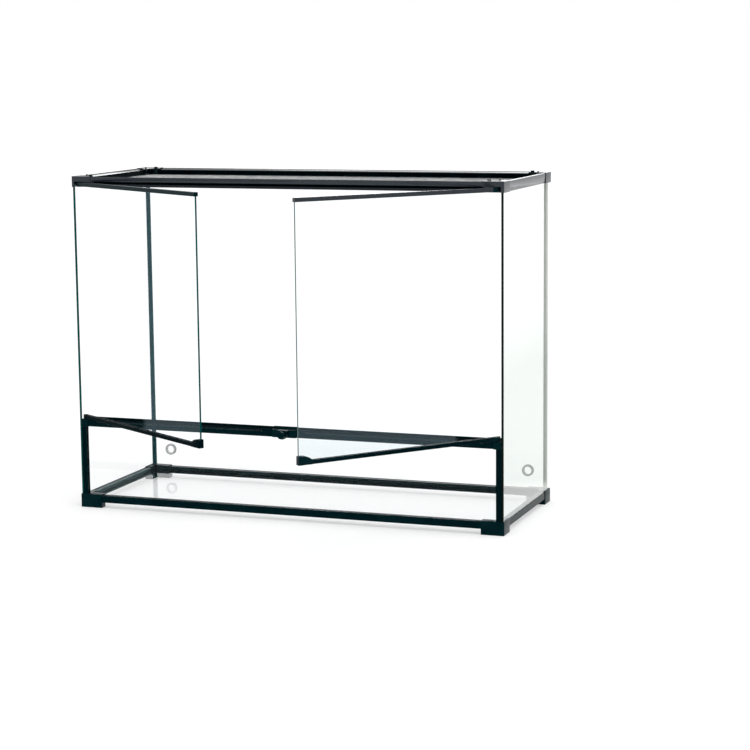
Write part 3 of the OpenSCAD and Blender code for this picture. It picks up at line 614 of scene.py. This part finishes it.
# %% Metal, screen, grommet and strips
THIN_BEGINS, THIN_WHOLE = 0.45, 0.8
screen_wire, tree, skin = plain_material("coated wire")
worn = put(tree, "ShaderNodeTexNoise", Vector=own_place(tree), Scale=45.0, Detail=4.0)
thin_coat = spread(tree, worn.outputs["Fac"], THIN_BEGINS, THIN_WHOLE)
coat(tree, skin, thin_coat, (0.11, 0.115, 0.12, 1), (0.22, 0.22, 0.225, 1), 0.42, vary=-0.15)

bolt_steel, tree, skin = plain_material("pressed steel")
rolled = effect(tree, drawn, Upright=1.0, Pitch=0.0003)
feed(tree, skin.inputs["Base Color"],
     blend_colour(tree, rolled["Mottle"], (0.42, 0.42, 0.41, 1), (0.55, 0.55, 0.54, 1)))
feed(tree, skin.inputs["Roughness"], maths(tree, "MULTIPLY_ADD", rolled["Height"], 0.2, 0.22))
skin.inputs["Metallic"].default_value = 1.0

ring_plastic, tree, skin = plain_material("grey plastic ring")
relief = effect(tree, grain, Size=0.0005)
coat(tree, skin, relief["Mottle"], (0.52, 0.535, 0.53, 1), (0.58, 0.595, 0.59, 1), 0.40)
emboss(tree, skin, relief["Height"], MOULDED_LIFT)

# The strip in the right back corner is painted pale, a painted light.
lit_strip, tree, skin = plain_material("corner strip, painted light")
relief = effect(tree, drawn, Upright=1.0)
coat(tree, skin, relief["Mottle"], (0.52, 0.54, 0.50, 1), (0.58, 0.60, 0.56, 1), 0.35)

# The strip in the left back corner is given a blue-green tone.
STRIP_TONES, STRIP_ROUGH = ((0.002, 0.050, 0.056, 1), (0.006, 0.070, 0.078, 1)), 0.26
left_strip = black_plastic(
    "corner strip, upright", drawn, *STRIP_TONES, BASE_GLOSS, STRIP_ROUGH, EXTRUDED_LIFT,
    NO_DUST, BASE_MIRROR, Upright=1.0)
print("materials:", len(bpy.data.materials))


# %% [markdown]
# ## Tools for modelling
# An edit-mode operator acts on all that is selected, so everything is deselected first, and
# the faces are then picked in code by their place or normal.

# %% Modelling helpers
# The least part of a face's normal along an axis for it to look straight that way, nearly
# straight, and more that way than not.
STRAIGHT, NEARLY, MOSTLY = 0.999, 0.95, 0.5


def start_clean():
    bpy.ops.object.select_all(action="DESELECT")


def select_only(piece):
    start_clean()
    piece.select_set(True)
    bpy.context.view_layer.objects.active = piece


def box_between(name, low, high):
    """A box between two corners, with its place in its mesh."""
    low, high = Vector(low), Vector(high)
    start_clean()
    bpy.ops.mesh.primitive_cube_add(size=1, location=(low + high) / 2, scale=high - low)
    bpy.ops.object.transform_apply(location=True, rotation=True, scale=True)
    piece = bpy.context.object
    piece.name = name
    return piece


def edit(piece):
    """Opens a piece in edit mode, with nothing selected."""
    select_only(piece)
    bpy.ops.object.mode_set(mode="EDIT")
    bpy.ops.mesh.select_mode(type="FACE")
    bpy.ops.mesh.select_all(action="DESELECT")


def done():
    bpy.ops.object.mode_set(mode="OBJECT")


def pick_faces(piece, test):
    """Selects the faces whose middle and normal pass the test."""
    bpy.ops.mesh.select_mode(type="FACE")
    bpy.ops.mesh.select_all(action="DESELECT")
    mesh = bmesh.from_edit_mesh(piece.data)
    for face in mesh.faces:
        if test(face.calc_center_median(), face.normal):
            face.select_set(True)
    bmesh.update_edit_mesh(piece.data)


def merge(piece, distance):
    """Joins the points that lie closer than that, and leaves them selected in edit mode."""
    edit(piece)
    bpy.ops.mesh.select_all(action="SELECT")
    bpy.ops.mesh.remove_doubles(threshold=distance)


def apply_all(piece):
    """Applies all the modifiers of a piece."""
    select_only(piece)
    for modifier in list(piece.modifiers):
        bpy.ops.object.modifier_apply(modifier=modifier.name)


def cut_out(piece, cutter):
    """Takes the shape of one object out of another with a Boolean modifier."""
    hole = piece.modifiers.new("hole", "BOOLEAN")
    hole.operation = "DIFFERENCE"
    hole.object = cutter
    apply_all(piece)
    bpy.data.objects.remove(cutter)


def soften(piece, width, angle, harden=False):
    """Rounds the edges that turn by more than that angle, with a Bevel modifier."""
    soft = piece.modifiers.new("soft edges", "BEVEL")
    soft.width = width
    soft.segments = 3
    soft.limit_method = "ANGLE"
    soft.angle_limit = angle
    soft.harden_normals = harden
    apply_all(piece)


def finish_piece(piece, body, nodes, materials=()):
    """Gives a piece its materials and body, and hides the CAD nodes that it stands for."""
    for made in materials:
        piece.data.materials.append(made)
    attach(piece, body)
    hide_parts(*nodes)
    print(f"{piece.name}: {len(piece.data.polygons)} faces on {body}")
    return piece


# %% [markdown]
# ## The panes
# A pane is cut, then its sharp arrises are ground off. A box is added at the pane's size, and
# a bevel of half a millimetre takes off its edges. The two large faces keep the clear glass.
# The four narrow ones and the bevels get the green of the glass's depth. In a side pane, that
# green also shows through the large faces beside the front edge, so they are inset and the
# strip there gets it too.

# %% Panes
ARRIS = 0.5 * MM
LEFT_STRIP, RIGHT_STRIP = 3 * MM, 5 * MM


def cut_pane(name, low, high, thin_axis, clear, edge, strip=0):
    """A glass slab. thin_axis is 0, 1 or 2, the axis across its thickness. strip is how far
    the front edge shows through the large faces."""
    pane = box_between(name, low, high)
    edit(pane)
    bpy.ops.mesh.select_all(action="SELECT")
    bpy.ops.mesh.bevel(offset=ARRIS, segments=2, affect="EDGES")
    if strip:
        pick_faces(pane, lambda middle, normal: abs(normal[thin_axis]) > STRAIGHT)
        bpy.ops.mesh.inset(thickness=strip, use_individual=True)
    done()
    for made in (clear, edge):
        pane.data.materials.append(made)
    for face in pane.data.polygons:
        large = abs(face.normal[thin_axis]) > STRAIGHT
        in_strip = strip and face.center.y < low[1] + strip
        face.material_index = 1 if not large or in_strip else 0
    return pane


def fixed_pane(node, thin_axis, clear, edge, strip=0):
    """A pane of the cabinet, which stands for its CAD node."""
    low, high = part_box(node)
    pane = cut_pane(node + "_glass", low, high, thin_axis, clear, edge, strip)
    finish_piece(pane, "cabinet", [node])


fixed_pane("floor_pane", 2, floor_glass, teal_edge)
fixed_pane("side_pane_left", 0, left_glass, teal_edge, LEFT_STRIP)
fixed_pane("side_pane_right", 0, right_glass, shaded_glass_edge, RIGHT_STRIP)
fixed_pane("lower_front_pane", 1, front_glass, teal_edge)

# %% [markdown]
# The back pane has two round holes. A cylinder is taken out of it with a Boolean modifier,
# and the inside of each hole is an edge of the glass too.

# %% Back pane
HOLE_X, HOLE_Z, HOLE_R = 0.538, 0.083, 0.013
DRILL_LENGTH, HOLE_SIDES = 0.03, 96
# The faces inside a hole are small and look across the pane's thickness.
ACROSS, SMALL_AREA = 0.1, 1e-4
low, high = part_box("back_pane")
back = cut_pane("back_pane_glass", low, high, 1, back_glass, shaded_glass_edge)
for side in (-1, 1):
    start_clean()
    bpy.ops.mesh.primitive_cylinder_add(
        vertices=HOLE_SIDES, radius=HOLE_R, depth=DRILL_LENGTH, rotation=(QUARTER, 0, 0),
        location=(side * HOLE_X, (low.y + high.y) / 2, HOLE_Z))
    drill = bpy.context.object
    drill.data.materials.append(shaded_glass_edge)
    cut_out(back, drill)
for face in back.data.polygons:
    if abs(face.normal.y) < ACROSS and face.area < SMALL_AREA:
        face.material_index = 1
finish_piece(back, "cabinet", ["back_pane"])


# %% [markdown]
# The doors' panes are cut closed, where their edges run along the axes, and are then swung
# open about the hinge pins in edit mode. Without a window the rotate operator turns the other
# way, and it needs the pin as its centre. The CAD node's box shows whether the pane has
# landed where it belongs.

# %% Door panes
PIN_X, PIN_Y = 0.582, -0.2175
PANE_X, PANE_Y, PANE_Z = (0.5865, 0.0035), (-0.220, -0.215), (0.248, 0.881)


def swing(piece, right):
    """Turns a piece that was made on the closed door to where the door stands open."""
    pin = Vector((PIN_X if right else -PIN_X, PIN_Y, 0))
    edit(piece)
    bpy.ops.mesh.select_all(action="SELECT")
    bpy.ops.transform.rotate(value=-RIGHT_OPEN if right else LEFT_OPEN, orient_axis="Z",
                             center_override=pin)
    done()


def miss(piece, node):
    """How far the corners of a piece's box are from those of a CAD node, in millimetres."""
    low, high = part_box(node)
    points = [v.co for v in piece.data.vertices]
    return max(abs(end(p[axis] for p in points) - corner[axis])
               for end, corner in ((min, low), (max, high)) for axis in range(3)) / MM


for side, right, clear, edge in (("left", False, left_door_glass, door_edge),
                                 ("right", True, right_door_glass, lit_glass_edge)):
    x0, x1 = sorted(x if right else -x for x in PANE_X)
    low, high = zip((x0, x1), PANE_Y, PANE_Z)
    door = cut_pane(side + "_door_glass", low, high, 1, clear, edge)
    swing(door, right)
    print("off by", round(miss(door, side + "_door_pane"), 2), "mm")
    finish_piece(door, side + "_door", [side + "_door_pane"])


# %% [markdown]
# ## Rails and mouldings
# The extruded rails, the strips and the bolt have the right shape in CAD, so they stay and only
# get their finish.


def paint(names, made):
    """Gives CAD nodes their finish. Their meshes stay as they are."""
    for name in names:
        nodes[name].data.materials.clear()
        nodes[name].data.materials.append(made)
    print(made.name, "on", names)


paint(["base_rail_front", "base_rail_back"], base_along_x)
paint(["base_rail_left"], left_base)
paint(["base_rail_right"], base_along_y)
paint(["front_post_left", "front_post_right"], upright)
paint(["back_strip_left"], left_strip)
paint(["back_strip_right"], lit_strip)
paint(["lid_rail_front", "lid_rail_back"], base_along_x)
paint(["lid_rail_left", "lid_rail_right"], base_along_y)
for (side, level), made in door_finishes.items():
    paint([f"{side}_door_{level}_rail"], made)
paint(["lock_bolt"], bolt_steel)


# %% [markdown]
# The moulded pieces come out of their moulds with softly rounded edges, which catch a line of
# light. A copy of the CAD mesh is merged into whole faces, and a Bevel modifier rounds it.

# %% Moulded pieces
WELD, FLAT, SHARP = 0.001 * MM, math.radians(0.5), math.radians(30)
SOFT, CLIP_SOFT = 0.5 * MM, 0.3 * MM


def copy_of(node):
    """A copy of a CAD node's mesh, so that the node itself stays as it is."""
    piece = bpy.data.objects.new(node + "_dressed", nodes[node].data.copy())
    bpy.context.collection.objects.link(piece)
    piece.data.materials.clear()
    return piece


def rounded_copy(node, body, finish, radius):
    """A copy of a CAD node with its facets merged and its edges rounded."""
    piece = copy_of(node)
    merge(piece, WELD)
    bpy.ops.mesh.dissolve_limited(angle_limit=FLAT)
    done()
    bpy.ops.object.shade_smooth()
    soften(piece, radius, SHARP, harden=True)
    return finish_piece(piece, body, [node], [finish])


def recoat(piece, test, made=shaded):
    """Gives the faces whose middle and normal pass the test another finish."""
    piece.data.materials.append(made)
    found = [f for f in piece.data.polygons if test(f.center, f.normal)]
    for face in found:
        face.material_index = len(piece.data.materials) - 1
    print(f"{piece.name}: {len(found)} faces get {made.name}")
    return piece


for depth in ("front", "back"):
    for side in ("left", "right"):
        rounded_copy(f"foot_{depth}_{side}", "cabinet", base_moulded, SOFT)
for side in ("left", "right"):
    rounded_copy(f"hinge_bracket_{side}", "cabinet", base_moulded, SOFT)
    for part in ("corner_block", "top_shoe", "bottom_shoe"):
        dull = side == "left" and part != "top_shoe"
        rounded_copy(f"{side}_door_{part}", side + "_door",
                     slanted_moulded if dull else base_moulded, SOFT)
rounded_copy("lock_housing", "cabinet", base_moulded, SOFT)
rounded_copy("lid_clips", "lid", clip_moulded, CLIP_SOFT)

# %% [markdown]
# The top frame gets soft edges in the same way. Its inner faces stand over the screen, and
# the front rail has a recess under its fascia. Little light comes there, so these faces get
# painted shade, a black that hardly mirrors. So do the vent rail's faces that look up, under
# the doors. The lip under the recess has a sheen of its own, and the sides of the vent's slots
# are paler than the rail, a painted light.

# %% Top frame and vent rails
FINE = 0.25 * MM
RIM_Z, RECESS_LOW, RECESS_HIGH = 0.8975, 0.8785, 0.8862
SLOT_LOW, SLOT_HIGH, SLOT_BACK = 0.236, 0.242, -0.2215
INSIDE_X, INSIDE_Y = 0.59, 0.215


def inner_faces(axis, inward, recessed=False, rim=False):
    """A test for faces that look into the frame along an axis (0 or 1). It can also take the
    recess under the fascia, or the rim on top."""
    def test(middle, normal):
        return (normal[axis] * inward > NEARLY or rim and middle.z > RIM_Z
                or recessed and RECESS_LOW < middle.z < RECESS_HIGH)
    return test


# Painted shade on the faces that look into the frame, the left rim, the recess and the corners.
for side, finish, test in (
        ("left", top_along_y, inner_faces(0, 1, rim=True)),
        ("right", top_along_y, inner_faces(0, -1)),
        ("front", top_along_x, inner_faces(1, 1, recessed=True)),
        ("back", top_along_x, inner_faces(1, -1))):
    rail = recoat(rounded_copy("top_rail_" + side, "cabinet", finish, FINE), test)
    if side == "front":
        recoat(rail, lambda middle, normal: middle.z < RECESS_LOW, lip_finish)
for depth, front in (("front", 1), ("back", -1)):
    for side, left in (("left", 1), ("right", -1)):
        corner = rounded_copy(f"top_corner_{depth}_{side}", "cabinet", top_moulded, SOFT)
        recoat(corner, lambda middle, normal: (
            (normal.x * left > NEARLY and abs(middle.x) < INSIDE_X)
            or (normal.y * front > NEARLY and abs(middle.y) < INSIDE_Y)))
for side in ("left", "right"):
    vent = copy_of("vent_rail_" + side)
    merge(vent, WELD)
    done()
    bpy.ops.object.shade_flat()
    finish_piece(vent, "cabinet", ["vent_rail_" + side], [base_along_x])
    # Painted shade on the faces that look up.
    recoat(vent, lambda middle, normal: normal.z > MOSTLY)
    # Painted light on the sides of the slots.
    recoat(vent, lambda middle, normal: (
        SLOT_LOW < middle.z < SLOT_HIGH and middle.y < SLOT_BACK
        and abs(normal.y) < MOSTLY), slot_light)

# %% [markdown]
# ## The lock barrel
# A round head that a key turns. A cylinder is added with its axis along Y. Its front is inset
# twice, so that a rim stands round a shallow dish, and its back is drawn out into the shaft.
# The edges are bevelled, and the key slot is cut last, out of the dish.

# %% Lock barrel
LOCK_Z = 0.2324
HEAD_R, HEAD_FRONT, HEAD_BACK, HEAD_SIDES = 10 * MM, -0.2472, -0.2372, 64
RIM_WIDTH, RIM_SLOPE, DISH_DEPTH, RIM_SOFT = 1.8 * MM, 0.6 * MM, 0.8 * MM, 0.7 * MM
SHAFT_R, SHAFT_LENGTH = 6 * MM, 8 * MM
KEY_HALF_W, KEY_HALF_H, KEY_FRONT, KEY_BACK = 0.9 * MM, 4.5 * MM, -0.25, -0.242
FOLD, SLIVER = math.radians(35), 0.005 * MM
start_clean()
bpy.ops.mesh.primitive_cylinder_add(
    vertices=HEAD_SIDES, radius=HEAD_R, depth=HEAD_BACK - HEAD_FRONT, rotation=(QUARTER, 0, 0),
    location=(0, (HEAD_FRONT + HEAD_BACK) / 2, LOCK_Z))
bpy.ops.object.transform_apply(location=True, rotation=True, scale=True)
barrel = bpy.context.object
barrel.name = "lock_barrel_turned"
edit(barrel)
pick_faces(barrel, lambda middle, normal: normal.y < -STRAIGHT)
bpy.ops.mesh.inset(thickness=RIM_WIDTH)
bpy.ops.mesh.inset(thickness=RIM_SLOPE, depth=-DISH_DEPTH)
pick_faces(barrel, lambda middle, normal: normal.y > STRAIGHT)
bpy.ops.mesh.inset(thickness=HEAD_R - SHAFT_R)
bpy.ops.mesh.extrude_region_move(TRANSFORM_OT_translate={"value": (0, SHAFT_LENGTH, 0)})
done()
soften(barrel, RIM_SOFT, FOLD)
cut_out(barrel, box_between("key_cutter", (-KEY_HALF_W, KEY_FRONT, LOCK_Z - KEY_HALF_H),
                            (KEY_HALF_W, KEY_BACK, LOCK_Z + KEY_HALF_H)))
merge(barrel, SLIVER)
done()
bpy.ops.object.shade_smooth_by_angle(angle=FOLD)
finish_piece(barrel, "barrel", ["lock_barrel"], [base_moulded])

# %% [markdown]
# ## The screen
# The net is a fine weave of straight wires. One wire is a six-sided rod, and an Array modifier
# lays its copies side by side. The wires along the depth lie on those along the width.

# %% Screen
WIRE_R, WIRE_GAP, LAYER_SHIFT = 0.26 * MM, 2.5 * MM, 0.2 * MM
WIRE_SIDES, WIRE_FOLD = 6, math.radians(70)
net_low, net_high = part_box("lid_screen")


def wire_layer(name, across, along, height):
    """Rods that run along one axis (0 or 1), side by side along the other."""
    length = net_high[along] - net_low[along]
    width = net_high[across] - net_low[across]
    count = int((width - 2 * WIRE_R) / WIRE_GAP)
    spare = width - count * WIRE_GAP
    where = Vector((0, 0, height))
    where[along] = (net_low[along] + net_high[along]) / 2
    where[across] = net_low[across] + spare / 2
    start_clean()
    bpy.ops.mesh.primitive_cylinder_add(
        vertices=WIRE_SIDES, radius=WIRE_R, depth=length, location=where,
        rotation=(0, QUARTER, 0) if along == 0 else (QUARTER, 0, 0))
    bpy.ops.object.transform_apply(location=True, rotation=True, scale=True)
    layer = bpy.context.object
    layer.name = name
    row = layer.modifiers.new("row", "ARRAY")
    row.use_relative_offset = False
    row.use_constant_offset = True
    row.constant_offset_displace = [WIRE_GAP if axis == across else 0 for axis in range(3)]
    row.count = count + 1
    apply_all(layer)
    bpy.ops.object.shade_smooth_by_angle(angle=WIRE_FOLD)
    return layer


half_up = (net_low.z + net_high.z) / 2
wires_x = wire_layer("screen_wires", 1, 0, half_up - LAYER_SHIFT)
wires_y = wire_layer("screen_wires_across", 0, 1, half_up + LAYER_SHIFT)
select_only(wires_x)
wires_y.select_set(True)
bpy.ops.object.join()
finish_piece(wires_x, "lid", ["lid_screen"], [screen_wire])

# %% [markdown]
# ## Cable grommets
# A ring that grips the glass from both sides. Its section is drawn as a plane beside the
# hole, and its outer edge is pushed out into the two flanges. Only the outline is kept, and
# it is spun once round the axis, so that nothing is left inside the ring.

# %% Grommets
GLASS_Y, PLAY = (0.217, 0.222), 0.2 * MM
BORE_R, NECK_R, FLANGE_R, FLANGE_T = 10.75 * MM, 12.8 * MM, 16 * MM, 2 * MM
RING_STEPS, RING_WELD, SAME_PLACE = 72, 0.01 * MM, 1e-6
RING_SOFT, RING_FOLD = 0.8 * MM, math.radians(40)


def ring(side, label):
    """A grommet round one of the holes. side is -1 or 1."""
    y0, y1 = GLASS_Y[0] - PLAY, GLASS_Y[1] + PLAY
    centre = Vector((side * HOLE_X, 0, HOLE_Z))
    start_clean()
    bpy.ops.mesh.primitive_grid_add(
        x_subdivisions=1, y_subdivisions=3, size=1,
        location=centre + Vector(((BORE_R + NECK_R) / 2, (y0 + y1) / 2, 0)))
    piece = bpy.context.object
    piece.scale = (NECK_R - BORE_R, y1 - y0 + 2 * FLANGE_T, 1)
    bpy.ops.object.transform_apply(location=True, rotation=True, scale=True)
    edit(piece)
    mesh = bmesh.from_edit_mesh(piece.data)
    levels = sorted({round(v.co.y, 6) for v in mesh.verts})
    wanted = dict(zip(levels, (y0 - FLANGE_T, y0, y1, y1 + FLANGE_T)))
    for vertex in mesh.verts:
        vertex.co.y = wanted[round(vertex.co.y, 6)]
    for edge in mesh.edges:
        outer = all(abs(v.co.x - centre.x - NECK_R) < SAME_PLACE for v in edge.verts)
        half_way = (edge.verts[0].co.y + edge.verts[1].co.y) / 2
        edge.select_set(outer and not y0 < half_way < y1)
    bmesh.update_edit_mesh(piece.data)
    bpy.ops.mesh.select_mode(type="EDGE")
    bpy.ops.mesh.extrude_edges_move(
        TRANSFORM_OT_translate={"value": (FLANGE_R - NECK_R, 0, 0)})
    bpy.ops.mesh.select_all(action="SELECT")
    bpy.ops.mesh.dissolve_faces()
    bpy.ops.mesh.delete(type="ONLY_FACE")
    bpy.ops.mesh.select_all(action="SELECT")
    bpy.ops.mesh.spin(steps=RING_STEPS, angle=2 * math.pi, center=centre, axis=(0, 1, 0))
    bpy.ops.mesh.select_all(action="SELECT")
    bpy.ops.mesh.remove_doubles(threshold=RING_WELD)
    bpy.ops.mesh.normals_make_consistent(inside=False)
    done()
    piece.name = f"grommet_{label}_ring"
    return piece


for side, label in ((-1, "left"), (1, "right")):
    grommet = ring(side, label)
    open_edges = bmesh.new()
    open_edges.from_mesh(grommet.data)
    print("open edges:", sum(not e.is_manifold for e in open_edges.edges))
    open_edges.free()
    soften(grommet, RING_SOFT, RING_FOLD)
    bpy.ops.object.shade_smooth_by_angle(angle=FOLD)
    finish_piece(grommet, "cabinet", ["grommet_" + label], [ring_plastic])
